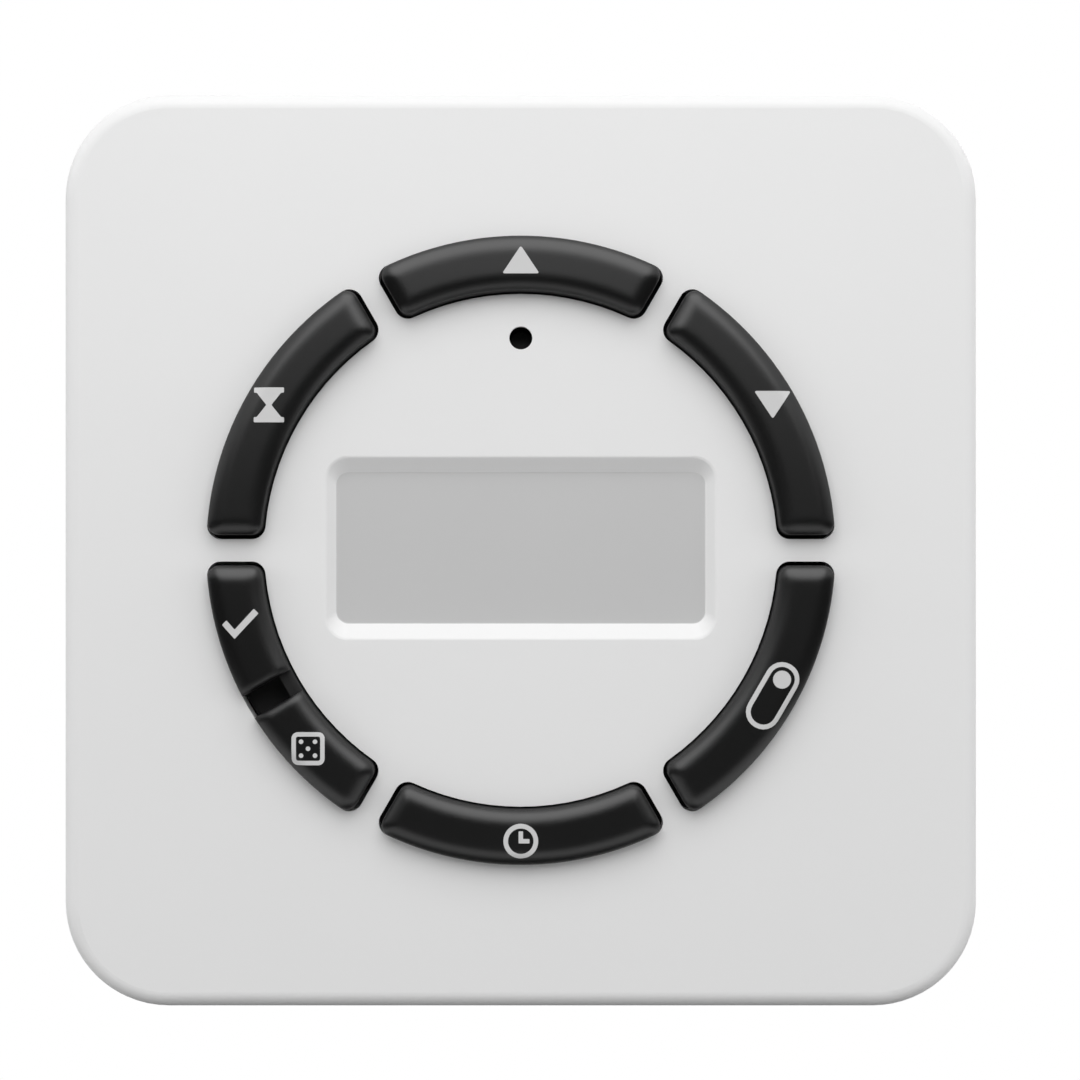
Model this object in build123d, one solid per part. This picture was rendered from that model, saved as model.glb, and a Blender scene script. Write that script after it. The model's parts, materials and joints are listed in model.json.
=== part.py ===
from build123d import *
import os
from math import asin, cos, degrees, hypot, radians, sin, sqrt

# Flush wall timer: a square cover with a ring of keys round a display, over a steel
# mounting frame with a power housing behind the wall. All sizes are in millimetres.
# The model is drawn facing +Z with +Y up and Z = 0 on the wall, and is turned when it
# is written, so that the finished part faces -Y with +Z up.

# Cover
PLATE_SIZE = 80.0
PLATE_CORNER = 9.3
COVER_WALL = 2.0
COVER_DRAFT = 1.0
FACE_THICKNESS = 2.0
FACE_EDGE = 1.4
INNER_HALF = PLATE_SIZE / 2 - COVER_WALL

# Parts on the back of the control board
CHIP_SIZE = 10.0
CHIP_HEIGHT = 1.5
CHIP_OFFSET = -12.0
CHIP_LEGS = 11
LEG_PITCH = 0.8
LEG_WIDTH = 0.35
LEG_REACH = 1.0
LEG_SHEET = 0.2
CRYSTAL_LENGTH = 8.0
CRYSTAL_WIDTH = 3.8
CRYSTAL_HEIGHT = 2.4
PART_GAP = 0.8
CELL_DIAMETER = 12.5
CELL_HEIGHT = 2.0
CELL_AT = (12.0, 2.0)
CLIP_SHEET = 0.3
CLIP_WIDTH = 5.0
CLIP_FOOT = 2.5
HEADER_HEIGHT = 2.5

# Depth of the layers, counted forward from the wall
FRAME_SHEET = 1.2
BACK_PLATE_GAP = 0.1
BACK_PLATE = 1.5
BACK_GAP = 0.7
BACK_ROOM = max(HEADER_HEIGHT, CELL_HEIGHT + CLIP_SHEET, CRYSTAL_HEIGHT, CHIP_HEIGHT) + BACK_GAP
BOARD_THICKNESS = 1.6
GLASS_SHEET = 1.1
GLASS_STAND = 1.2
PANE_FLANGE = 1.0
BACK_PLATE_BACK = FRAME_SHEET + BACK_PLATE_GAP
BACK_PLATE_FRONT = BACK_PLATE_BACK + BACK_PLATE
BOARD_BACK = BACK_PLATE_FRONT + BACK_ROOM
BOARD_FRONT = BOARD_BACK + BOARD_THICKNESS
GLASS_BACK = BOARD_FRONT + GLASS_STAND
GLASS_STEP = GLASS_BACK + GLASS_SHEET
GLASS_FRONT = GLASS_STEP + GLASS_SHEET
FACE_BACK = GLASS_FRONT + PANE_FLANGE
COVER_DEPTH = FACE_BACK + FACE_THICKNESS

# Display
WINDOW_WIDTH = 32.2
WINDOW_HEIGHT = 13.2
WINDOW_CORNER = 1.1
WINDOW_RISE = 0.2
WINDOW_RECESS = 0.8
BEVEL_SIDE = 0.8
BEVEL_TOP = 1.3
BEVEL_ROUND = 0.4
PANE_FIT = 0.06
PANE_BORDER = 1.7
PANE_RIM = 0.8
GLASS_LAP_SIDE = 1.0
GLASS_LAP_TOP = 1.6
GLASS_LEDGE = 2.4
GLASS_FIT = 0.15
HOLDER_WALL = 1.05
HOLDER_CORNER = 2.0
STRIP_WIDTH = 1.5
STRIP_INSET = 0.75
STRIP_END = 0.6
GLASS_WIDTH = WINDOW_WIDTH + 2 * GLASS_LAP_SIDE
GLASS_HEIGHT = WINDOW_HEIGHT + 2 * GLASS_LAP_TOP
STRIP_AT = GLASS_HEIGHT / 2 - STRIP_INSET - STRIP_WIDTH / 2
HOLDER_HALF_WIDTH = GLASS_WIDTH / 2 + GLASS_FIT + HOLDER_WALL
HOLDER_HALF_HEIGHT = GLASS_HEIGHT / 2 + GLASS_FIT + HOLDER_WALL
HOLDER_TOP = WINDOW_RISE + HOLDER_HALF_HEIGHT
HOLDER_REACH = HOLDER_CORNER + hypot(HOLDER_HALF_WIDTH - HOLDER_CORNER, HOLDER_TOP - HOLDER_CORNER)

# Ring of keys, just clear of the display's holder
KEY_NAMES = ("down", "up", "countdown", "set_random", "time", "manual")
KEY_COUNT = len(KEY_NAMES)
KEY_WIDTH = 4.7
DISPLAY_GAP = 1.55
MAT_MARGIN = 0.9
MAT_INNER = HOLDER_REACH + DISPLAY_GAP
KEY_RING_RADIUS = MAT_INNER + MAT_MARGIN + KEY_WIDTH / 2
KEY_CLEARANCE = 0.18
END_CLEARANCE = 0.35
SPOKE_WIDTH = 1.95
KEY_CORNER = 1.0
SMALLEST_CORNER = 0.2
KEY_HEIGHT = 1.8
CROWN_WIDTH = 0.95
CROWN_DROP = 0.42
CREST_ROUND = 1.5
RIM_ROUND = 0.25
KEY_WALL = 1.0
KEY_ROOF = 1.3
KEY_LIP = 0.8
KEY_FLANGE = 0.9
KEY_POST = 3.2
KEY_TRAVEL = 0.8
REST_GAP = 0.05
FLANGE_FRONT = FACE_BACK - REST_GAP
FLANGE_BACK = FLANGE_FRONT - KEY_FLANGE
KEY_TOP = COVER_DEPTH + KEY_HEIGHT

# Rocking key with two ends
ROCKER = "set_random"
ROCKER_ARM = 8.0
NOTCH_WIDTH = 2.1
NOTCH_DEPTH = 3.0
NOTCH_ROUND = 0.4
WEB_TOP = KEY_TOP - NOTCH_DEPTH
WEB_EDGE = 0.5
BRIDGE_DROP = 0.9
BRIDGE_WIDTH = 1.1
ROCKER_SKIRT = 1.8
PIVOT_DIAMETER = 1.4
PIVOT_DROP = 1.0
PIVOT_LENGTH = 1.5
PIVOT_CLEARANCE = 0.1
SADDLE_WIDTH = 4.0
SADDLE_LENGTH = 1.5
SADDLE_GAP = 0.4
SADDLE_LIP = 0.3

# Control board and key mat
BOARD_MARGIN = 4.0
BOARD_GAP = 0.5
BOARD_BOSS = 5.0
BOSS_GAP = 0.6
BOARD_SIZE = 2 * (INNER_HALF - BOARD_MARGIN)
BOARD_BOSS_Y = HOLDER_TOP + BOSS_GAP + BOARD_BOSS / 2
BOARD_BOSS_X = sqrt((MAT_INNER - BOSS_GAP - BOARD_BOSS / 2) ** 2 - BOARD_BOSS_Y ** 2)
MAT_THICKNESS = 0.8
DOME_HEIGHT = 2.0
DOME_BASE = 6.2
DOME_CROWN = 4.2
DOME_ROOF = 0.8
DOME_SKIN = 0.5
PILL_DIAMETER = 2.4
DOME_TOP = BOARD_FRONT + DOME_HEIGHT

# Reset switch under its pinhole
PINHOLE = 2.0
PINHOLE_BELOW_KEY = 4.0
PINHOLE_RISE = KEY_RING_RADIUS - KEY_WIDTH / 2 - PINHOLE_BELOW_KEY
PINHOLE_WELL = 4.4
PINHOLE_LIP = 0.6
SWITCH_SIZE = 4.0
SWITCH_HEIGHT = 1.7
SWITCH_LID = 0.4
SWITCH_FLOOR = 0.4
PLUNGER_DIAMETER = 1.8
PLUNGER_COLLAR = 2.6
COLLAR_HEIGHT = 0.5
PLUNGER_PROUD = 1.0
PLUNGER_CLEARANCE = 0.15

# Screws, with pan heads and a cross recess
SCREW_SHANK = 2.5
SCREW_HEAD = 4.6
HEAD_HEIGHT = 1.5
SCREW_REACH = 5.0
PILOT_DEPTH = 6.0
SCREW_CLEARANCE = 0.2
THREAD_CLEARANCE = 0.06
PILOT = SCREW_SHANK + THREAD_CLEARANCE
RECESS_LENGTH = 2.4
RECESS_WIDTH = 0.6
RECESS_DEPTH = 0.8
CHIP_AT = (CHIP_OFFSET, BOARD_BOSS_Y - SCREW_HEAD / 2 - PART_GAP - LEG_REACH - CHIP_SIZE / 2)
CRYSTAL_AT = (CHIP_OFFSET, CHIP_AT[1] - CHIP_SIZE / 2 - LEG_REACH - PART_GAP - CRYSTAL_WIDTH / 2)

# Back plate of the front half
BACK_PLATE_RIM = 1.2
RIM_HEIGHT = 1.0
CASE_BOSS = 6.4
CASE_BOSS_INSET = 7.2
CASE_BOSS_AT = INNER_HALF - CASE_BOSS_INSET
CUP_HEIGHT = 3.0
CUP_FLOOR = 1.2
CUP_WALL = 1.0
CUP_TOP = BACK_PLATE_BACK + CUP_HEIGHT

# Steel mounting frame
FRAME_GAP = 1.0
FRAME_SIZE = 2 * (INNER_HALF - FRAME_GAP)
FRAME_CLIP = 19.0
FRAME_OPENING = 36.0
WALL_SCREW_PITCH = 60.0
WALL_SLOT_WIDTH = 4.2
WALL_SLOT_LENGTH = 8.0
WALL_HEAD = 9.0
TAB_WIDTH = 14.0
TAB_HEIGHT = 5.4
TAB_BEND = 1.8
TAB_FOOT = 2.2
TAB_RELIEF = 0.8
TAB_WINDOW = 9.0
WINDOW_LOW = 2.0
WINDOW_HIGH = 4.2
CATCH_CLEARANCE = 0.25
CATCH_GRIP = 0.8
BACK_PLATE_SIZE = FRAME_SIZE - 2 * FRAME_SHEET - 2 * BOARD_GAP

# Power housing behind the wall
HOUSING_SIZE = 46.0
HOUSING_CORNER = 12.0
HOUSING_WALL = 1.8
HOUSING_EDGE = 2.0
LID_THICKNESS = 1.6
LID_LEDGE = 0.8
LID_FIT = 0.1
HOUSING_BOSS = 5.2
HOUSING_BOSS_INSET = 6.8
HOUSING_BOSS_AT = HOUSING_SIZE / 2 - HOUSING_BOSS_INSET
LABEL_MARGIN = 8.0
LABEL_CORNER = 2.0
LABEL_DEPTH = 0.4
RAIL_WIDTH = 8.0
RAIL_REACH = 2.2

# Parts on the power board, in rows from the top of the housing down
HOUSING_INSIDE = HOUSING_SIZE / 2 - HOUSING_WALL
RELAY_SIZE = (18.4, 10.2, 12.2)
FILM_SIZE = (13.0, 6.0, 12.0)
FILM_EDGE = 0.6
CAN_DIAMETER = 6.3
CAN_HEIGHT = 11.5
CAN_GROOVE = 0.35
DISC_DIAMETER = 7.0
DISC_THICKNESS = 3.6
DISC_STAND = 1.6
LEAD_DIAMETER = 0.7
LEAD_SPREAD = 5.0
FUSE_SIZE = (8.4, 4.0, 7.6)
BRIDGE_SIZE = (8.0, 6.4, 3.2)
RELAY_AT = (0, HOUSING_INSIDE - PART_GAP - RELAY_SIZE[1] / 2)
ROW_TOP = RELAY_AT[1] - RELAY_SIZE[1] / 2 - PART_GAP
ROW_HEIGHT = max(FILM_SIZE[1], CAN_DIAMETER, DISC_DIAMETER)
ROW_AT = ROW_TOP - ROW_HEIGHT / 2
FILM_AT = (0, ROW_AT)
CAN_AT = (FILM_SIZE[0] / 2 + PART_GAP + CAN_DIAMETER / 2, ROW_AT)
DISC_AT = (-FILM_SIZE[0] / 2 - PART_GAP - DISC_THICKNESS / 2, ROW_AT)
LOW_ROW_TOP = ROW_TOP - ROW_HEIGHT - PART_GAP
FUSE_AT = (PART_GAP / 2 + FUSE_SIZE[0] / 2, LOW_ROW_TOP - FUSE_SIZE[1] / 2)
BRIDGE_AT = (-PART_GAP / 2 - BRIDGE_SIZE[0] / 2, LOW_ROW_TOP - BRIDGE_SIZE[1] / 2)

# Depth of the layers behind the wall
POWER_GAP = 1.2
POWER_ROOM = max(RELAY_SIZE[2], FILM_SIZE[2], CAN_HEIGHT, DISC_STAND + DISC_DIAMETER) + POWER_GAP
POWER_BOARD_FRONT = -LID_THICKNESS - POWER_ROOM
POWER_BOARD_BACK = POWER_BOARD_FRONT - BOARD_THICKNESS
POLE_HEIGHT = 12.0
POLE_REVEAL = 0.4
HOUSING_DEPTH = POLE_HEIGHT + POLE_REVEAL - POWER_BOARD_BACK

# Link between the two boards
LINK_AT = -13.0
LINK_PINS = 5
LINK_PITCH = 2.54
LINK_WIDTH = 2.5
PIN_SIZE = 0.64
PIN_PROUD = 0.8
PIN_BITE = 5.0
PIN_CLEARANCE = 0.1
SOCKET_HEIGHT = 11.0
LINK_CLEARANCE = 0.8

# Wire terminals
POLE_COUNT = 4
POLE_PITCH = 5.2
POLE_GAP = 0.1
POLE_DEPTH = 10.4
WIRE_HOLE = 3.2
WIRE_HOLE_LIFT = 4.6
POLE_WALL = 1.2
CAGE_WIDTH = 4.0
CAGE_DEPTH = 6.4
CAGE_HEIGHT = 7.6
CAGE_FIT = 0.1
TERMINAL_SCREW = 2.6
TERMINAL_HEAD = 3.6
TERMINAL_HEAD_HEIGHT = 1.8
WELL_CLEARANCE = 0.15
TERMINAL_CUT_GAP = 0.25

RISING = (Align.CENTER, Align.CENTER, Align.MIN)


def slab(sketch, low, high):
    """A flat outline made solid between two heights."""
    return extrude(Pos(0, 0, low) * sketch, amount=high - low)


def rod(at, diameter, low, high):
    """A round rod along the depth, at a point of the front view."""
    return Pos(at[0], at[1], low) * Cylinder(diameter / 2, high - low, align=RISING)


def bar(at, width, height, low, high):
    """A square-edged bar along the depth, at a point of the front view."""
    return Pos(at[0], at[1], low) * Box(width, height, high - low, align=RISING)


def four(x, y):
    """The four corners of a rectangle about the middle."""
    return [(side * x, level * y) for side in (-1, 1) for level in (-1, 1)]


def top_edges(solid):
    """The edges round the foremost face of a solid."""
    return solid.faces().sort_by(Axis.Z)[-1].edges()


def on_ring(angle, radius=KEY_RING_RADIUS):
    """A point of the key ring, by its angle in the front view."""
    return (radius * cos(radians(angle)), radius * sin(radians(angle)))


def key_angle(name):
    """The angle of a key on the ring, by its name."""
    return (KEY_NAMES.index(name) + 0.5) * 360 / KEY_COUNT


ROCKER_ANGLE = key_angle(ROCKER)
PUSH_KEYS = [name for name in KEY_NAMES if name != ROCKER]


def key_outline(grow, end_grow):
    """One key of the ring seen from the front, pointing up, grown at its sides and its ends."""
    inner = KEY_RING_RADIUS - KEY_WIDTH / 2 - grow
    outer = KEY_RING_RADIUS + KEY_WIDTH / 2 + grow
    half_angle = radians(180 / KEY_COUNT)
    setback = SPOKE_WIDTH / 2 + END_CLEARANCE - end_grow
    tip = setback / sin(half_angle)
    reach = 2 * outer
    side = reach * sin(half_angle)
    level = tip + reach * cos(half_angle)
    wedge = make_face(Polyline((0, tip), (side, level), (-side, level), close=True))
    sector = (Circle(outer) - Circle(inner)) & wedge
    return fillet(sector.vertices(), max(KEY_CORNER + grow, SMALLEST_CORNER))


def turned(shape, angle):
    """A shape drawn pointing up, turned to its place on the key ring."""
    return Rot(0, 0, angle - 90) * shape


def screw(at, head_seat, way, reach=SCREW_REACH):
    """A pan-head screw. Its head stands on head_seat and its shank goes the given way."""
    head = Cylinder(SCREW_HEAD / 2, HEAD_HEIGHT, align=RISING)
    head = chamfer(top_edges(head), HEAD_HEIGHT / 3)
    shank = Pos(0, 0, -reach) * Cylinder(SCREW_SHANK / 2, reach, align=RISING)
    shank = chamfer(shank.faces().sort_by(Axis.Z)[0].edges(), SCREW_SHANK / 6)
    body = head + shank
    for length, width in ((RECESS_LENGTH, RECESS_WIDTH), (RECESS_WIDTH, RECESS_LENGTH)):
        body -= bar((0, 0), length, width, HEAD_HEIGHT - RECESS_DEPTH, HEAD_HEIGHT)
    tilt = 0 if way < 0 else 180
    return Pos(at[0], at[1], head_seat) * Rot(tilt, 0, 0) * body


def rocker_point(side, radius=KEY_RING_RADIUS):
    """Where one end of the rocking key presses, on the left or the right of its pivot."""
    return on_ring(ROCKER_ANGLE + side * degrees(asin(ROCKER_ARM / KEY_RING_RADIUS)), radius)


def dome_points():
    """Every point where a key presses on the mat."""
    singles = [on_ring(key_angle(name)) for name in PUSH_KEYS]
    return singles + [rocker_point(side) for side in (-1, 1)]


def pivot_rod(diameter, start, length):
    """A rod along the pivot of the rocking key, drawn pointing up."""
    axis_height = FACE_BACK - PIVOT_DROP
    return Pos(0, start, axis_height) * Rot(-90, 0, 0) * Cylinder(diameter / 2, length, align=RISING)


def saddles():
    """Two open bearings behind the face that take the pivots of the rocking key."""
    inner = KEY_RING_RADIUS - KEY_WIDTH / 2 - SADDLE_GAP - SADDLE_LENGTH
    outer = KEY_RING_RADIUS + KEY_WIDTH / 2 + SADDLE_GAP
    axis_height = FACE_BACK - PIVOT_DROP
    hole = PIVOT_DIAMETER + 2 * PIVOT_CLEARANCE
    low = axis_height - PIVOT_DIAMETER / 2 - SADDLE_LIP
    pair = []
    for start in (inner, outer):
        middle = start + SADDLE_LENGTH / 2
        post = bar((0, middle), SADDLE_WIDTH, SADDLE_LENGTH, low, FACE_BACK)
        post -= pivot_rod(hole, start, SADDLE_LENGTH)
        post -= bar((0, middle), hole, SADDLE_LENGTH, low, axis_height)
        pair.append(turned(post, ROCKER_ANGLE))
    return pair


def sides():
    """The turn that carries a shape at the right-hand side to each of the four sides."""
    return [Rot(0, 0, quarter * 90) for quarter in range(4)]


def catch():
    """The snap catch on the right-hand inner wall, with a sloped lead-in at the wall side."""
    root = INNER_HALF
    nose = FRAME_SIZE / 2 - CATCH_GRIP
    low = WINDOW_LOW + CATCH_CLEARANCE
    high = WINDOW_HIGH - CATCH_CLEARANCE
    buried = root + COVER_WALL / 2
    slope = Polyline((buried, low), (root, low), (nose, high - SMALLEST_CORNER), (nose, high),
                     (buried, high), close=True)
    profile = Plane.XZ * make_face(slope)
    return extrude(profile, amount=TAB_WINDOW / 2 - CATCH_CLEARANCE, both=True)


def front_cover():
    plan = RectangleRounded(PLATE_SIZE, PLATE_SIZE, PLATE_CORNER)
    body = extrude(plan, amount=COVER_DEPTH, taper=COVER_DRAFT)
    body = fillet(top_edges(body), FACE_EDGE)
    inner = RectangleRounded(2 * INNER_HALF, 2 * INNER_HALF, PLATE_CORNER - COVER_WALL)
    body -= slab(inner, 0, FACE_BACK)
    for at in four(CASE_BOSS_AT, CASE_BOSS_AT):
        body += rod(at, CASE_BOSS, CUP_TOP, FACE_BACK)
        body -= rod(at, PILOT, CUP_TOP, CUP_TOP + PILOT_DEPTH)
    for at in four(BOARD_BOSS_X, BOARD_BOSS_Y):
        body += rod(at, BOARD_BOSS, BOARD_FRONT, FACE_BACK)
        body -= rod(at, PILOT, BOARD_FRONT, FACE_BACK)
    for turn in sides():
        body += turn * catch()
    body += window_rim()
    body -= window_opening()
    mouth = body.faces().sort_by(Axis.Z)[-1].inner_wires()[0]
    body = fillet(mouth.edges(), BEVEL_ROUND)
    body -= rod((0, PINHOLE_RISE), PINHOLE_WELL, FACE_BACK, COVER_DEPTH - PINHOLE_LIP)
    body -= rod((0, PINHOLE_RISE), PINHOLE, COVER_DEPTH - PINHOLE_LIP, COVER_DEPTH)
    slot = slab(key_outline(KEY_CLEARANCE, END_CLEARANCE), FACE_BACK, COVER_DEPTH)
    for name in KEY_NAMES:
        body -= turned(slot, key_angle(name))
    for post in saddles():
        body += post
    return body


def pane_size(grow):
    """The outline of the pane's flange behind the face, grown by an amount."""
    width = WINDOW_WIDTH + 2 * PANE_BORDER + 2 * grow
    height = WINDOW_HEIGHT + 2 * PANE_BORDER + 2 * grow
    return Pos(0, WINDOW_RISE) * RectangleRounded(width, height, WINDOW_CORNER + grow)


def window_rim():
    """The rib behind the face that the pane's flange drops into."""
    ring = pane_size(PANE_FIT + PANE_RIM) - pane_size(PANE_FIT)
    return slab(ring, FACE_BACK - PANE_FLANGE, FACE_BACK)


def window_opening():
    """The bevelled opening in front of the display."""
    floor = COVER_DEPTH - WINDOW_RECESS
    wide = RectangleRounded(WINDOW_WIDTH + 2 * BEVEL_SIDE, WINDOW_HEIGHT + 2 * BEVEL_TOP,
                            WINDOW_CORNER + BEVEL_SIDE)
    narrow = RectangleRounded(WINDOW_WIDTH, WINDOW_HEIGHT, WINDOW_CORNER)
    bevel = loft([Pos(0, WINDOW_RISE, floor) * narrow, Pos(0, WINDOW_RISE, COVER_DEPTH) * wide])
    return bevel + slab(Pos(0, WINDOW_RISE) * narrow, FACE_BACK, floor)


def display_window():
    """The clear pane: a plateau that fills the opening, on a flange behind the face."""
    plateau = Pos(0, WINDOW_RISE) * RectangleRounded(
        WINDOW_WIDTH - 2 * PANE_FIT, WINDOW_HEIGHT - 2 * PANE_FIT, WINDOW_CORNER - PANE_FIT)
    pane = slab(pane_size(0), FACE_BACK - PANE_FLANGE, FACE_BACK)
    return pane + slab(plateau, FACE_BACK, COVER_DEPTH - WINDOW_RECESS - REST_GAP)


def lcd_panel():
    """Two sheets of glass. The front one stands out above and below with its contacts."""
    front = bar((0, WINDOW_RISE), GLASS_WIDTH, GLASS_HEIGHT, GLASS_STEP, GLASS_FRONT)
    short = GLASS_HEIGHT - 2 * GLASS_LEDGE
    return front + bar((0, WINDOW_RISE), GLASS_WIDTH, short, GLASS_BACK, GLASS_STEP)


def lcd_holder():
    """The frame that squares the glass on the board and keeps the contact strips upright."""
    width = GLASS_WIDTH + 2 * GLASS_FIT
    height = GLASS_HEIGHT + 2 * GLASS_FIT
    outline = RectangleRounded(2 * HOLDER_HALF_WIDTH, 2 * HOLDER_HALF_HEIGHT, HOLDER_CORNER)
    frame = slab(Pos(0, WINDOW_RISE) * outline, BOARD_FRONT, GLASS_FRONT)
    frame -= bar((0, WINDOW_RISE), width, height, GLASS_STEP, GLASS_FRONT)
    short = GLASS_HEIGHT - 2 * GLASS_LEDGE + 2 * GLASS_FIT
    frame -= bar((0, WINDOW_RISE), width, short, BOARD_FRONT, GLASS_STEP)
    slot_width = STRIP_WIDTH + 2 * GLASS_FIT
    slot_length = GLASS_WIDTH - 2 * STRIP_END + 2 * GLASS_FIT
    for level in (-1, 1):
        at = (0, WINDOW_RISE + level * STRIP_AT)
        frame -= bar(at, slot_length, slot_width, BOARD_FRONT, GLASS_STEP)
    return frame


def zebra_strips():
    strips = []
    for level in (-1, 1):
        at = (0, WINDOW_RISE + level * STRIP_AT)
        strips.append(bar(at, GLASS_WIDTH - 2 * STRIP_END, STRIP_WIDTH, BOARD_FRONT, GLASS_STEP))
    return Compound(strips)


def crowned(body):
    """Slopes the top of a key gently down to its rim and rounds both edges of the slope."""
    top = body.faces().sort_by(Axis.Z)[-1]
    body = chamfer(top.edges(), CROWN_WIDTH, CROWN_DROP, reference=top)
    rim = KEY_TOP - CROWN_DROP
    near = RIM_ROUND / 100
    body = fillet(body.edges().filter_by_position(Axis.Z, rim - near, rim + near), RIM_ROUND)
    return fillet(top_edges(body), CREST_ROUND)


def push_key(name):
    """A hollow key with a flange behind the face and a post on its dome."""
    shell = crowned(slab(key_outline(0, 0), FLANGE_BACK, KEY_TOP))
    shell += slab(key_outline(KEY_LIP, KEY_LIP), FLANGE_BACK, FLANGE_FRONT)
    shell -= slab(key_outline(-KEY_WALL, -KEY_WALL), FLANGE_BACK, KEY_TOP - KEY_ROOF)
    middle = (0, KEY_RING_RADIUS)
    shell += rod(middle, KEY_POST, DOME_TOP + REST_GAP, KEY_TOP - KEY_ROOF)
    return turned(shell, key_angle(name))


def notch():
    """The deep groove across the rocking key, with rounded shoulders, drawn pointing up."""
    half = NOTCH_WIDTH / 2
    shoulder = KEY_TOP - NOTCH_ROUND
    floor = WEB_TOP - WEB_EDGE
    wide = half + NOTCH_ROUND
    over = KEY_TOP + NOTCH_ROUND
    outline = [
        Line((-half, floor), (half, floor)),
        Line((half, floor), (half, shoulder)),
        RadiusArc((half, shoulder), (wide, KEY_TOP), NOTCH_ROUND),
        Polyline((wide, KEY_TOP), (wide, over), (-wide, over), (-wide, KEY_TOP)),
        RadiusArc((-wide, KEY_TOP), (-half, shoulder), NOTCH_ROUND),
        Line((-half, shoulder), (-half, floor)),
    ]
    profile = Plane.XZ * make_face(outline)
    return Pos(0, KEY_RING_RADIUS, 0) * extrude(profile, amount=KEY_WIDTH, both=True)


def set_random_key():
    """The key with two ends, hung on pivots behind the face, with a post for each end."""
    low = FACE_BACK - ROCKER_SKIRT
    inner = KEY_RING_RADIUS - KEY_WIDTH / 2
    outer = KEY_RING_RADIUS + KEY_WIDTH / 2
    body = crowned(slab(key_outline(0, 0), low, KEY_TOP))
    web = fillet(top_edges(slab(key_outline(0, 0), low, WEB_TOP)), WEB_EDGE)
    web &= bar((0, KEY_RING_RADIUS), NOTCH_WIDTH, 2 * KEY_WIDTH, low, WEB_TOP)
    bridge = fillet(top_edges(slab(key_outline(0, 0), low, KEY_TOP - BRIDGE_DROP)), WEB_EDGE)
    bridge &= bar((0, inner), NOTCH_WIDTH, 2 * BRIDGE_WIDTH, low, KEY_TOP)
    body = body - notch() + web + bridge
    hollow = slab(key_outline(-KEY_WALL, -KEY_WALL), low, KEY_TOP - KEY_ROOF)
    hollow -= bar((0, KEY_RING_RADIUS), SADDLE_WIDTH, 2 * KEY_WIDTH, low, KEY_TOP)
    body -= hollow
    reach = SADDLE_GAP + PIVOT_LENGTH
    body += pivot_rod(PIVOT_DIAMETER, inner - reach, reach + KEY_WALL)
    body += pivot_rod(PIVOT_DIAMETER, outer - KEY_WALL, reach + KEY_WALL)
    body = turned(body, ROCKER_ANGLE)
    for side in (-1, 1):
        body += rod(rocker_point(side), KEY_POST, DOME_TOP + REST_GAP, KEY_TOP - KEY_ROOF)
    return body


def dome():
    """One hollow dome of the mat, standing on the board."""
    base = DOME_BASE / 2
    crown = DOME_CROWN / 2
    foot = base + DOME_SKIN
    roof = DOME_TOP - DOME_ROOF
    sheet = BOARD_FRONT + MAT_THICKNESS
    profile = make_face(Polyline(
        (base - DOME_SKIN, BOARD_FRONT), (foot, BOARD_FRONT), (foot, sheet), (base, sheet),
        (crown, DOME_TOP), (0, DOME_TOP), (0, roof), (crown - DOME_SKIN, roof), close=True))
    return revolve(Plane.XZ * profile, Axis.Z)


def dome_mat():
    """A ring of rubber on the board, with a dome under every pressing point."""
    outer = KEY_RING_RADIUS + KEY_WIDTH / 2 + MAT_MARGIN
    mat = slab(Circle(outer) - Circle(MAT_INNER), BOARD_FRONT, BOARD_FRONT + MAT_THICKNESS)
    for at in dome_points():
        mat -= rod(at, DOME_BASE, BOARD_FRONT, BOARD_FRONT + MAT_THICKNESS)
        mat += Pos(at[0], at[1], 0) * dome()
    return mat


def contact_pills():
    roof = DOME_TOP - DOME_ROOF
    low = BOARD_FRONT + KEY_TRAVEL
    return Compound([rod(at, PILL_DIAMETER, low, roof) for at in dome_points()])


def pin_row(at_y, width, height, low, high):
    """A row of square bars on the pitch of the link."""
    first = -LINK_PITCH * (LINK_PINS - 1) / 2
    return [bar((first + n * LINK_PITCH, at_y), width, height, low, high) for n in range(LINK_PINS)]


def control_board():
    board = bar((0, 0), BOARD_SIZE, BOARD_SIZE, BOARD_BACK, BOARD_FRONT)
    notch_size = CASE_BOSS + 2 * BOARD_GAP
    for at in four(CASE_BOSS_AT, CASE_BOSS_AT):
        board -= rod(at, notch_size, BOARD_BACK, BOARD_FRONT)
        board -= bar((at[0] * 2, at[1] * 2), 2 * CASE_BOSS_AT, 2 * CASE_BOSS_AT, BOARD_BACK, BOARD_FRONT)
    for at in four(BOARD_BOSS_X, BOARD_BOSS_Y):
        board -= rod(at, SCREW_SHANK + SCREW_CLEARANCE, BOARD_BACK, BOARD_FRONT)
    hole = PIN_SIZE + 2 * PIN_CLEARANCE
    for cut in pin_row(LINK_AT, hole, hole, BOARD_BACK, BOARD_FRONT):
        board -= cut
    return board


def board_screws():
    return Compound([screw(at, BOARD_BACK, 1, FACE_BACK - BOARD_BACK - FACE_THICKNESS)
                     for at in four(BOARD_BOSS_X, BOARD_BOSS_Y)])


def reset_switch():
    """A small square switch with a round well for its plunger."""
    top = BOARD_FRONT + SWITCH_HEIGHT
    at = (0, PINHOLE_RISE)
    body = bar(at, SWITCH_SIZE, SWITCH_SIZE, BOARD_FRONT, top)
    well = PLUNGER_COLLAR + 2 * PLUNGER_CLEARANCE
    mouth = PLUNGER_DIAMETER + 2 * PLUNGER_CLEARANCE
    body -= rod(at, well, BOARD_FRONT + SWITCH_FLOOR, top - SWITCH_LID)
    return body - rod(at, mouth, BOARD_FRONT + SWITCH_FLOOR, top)


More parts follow.
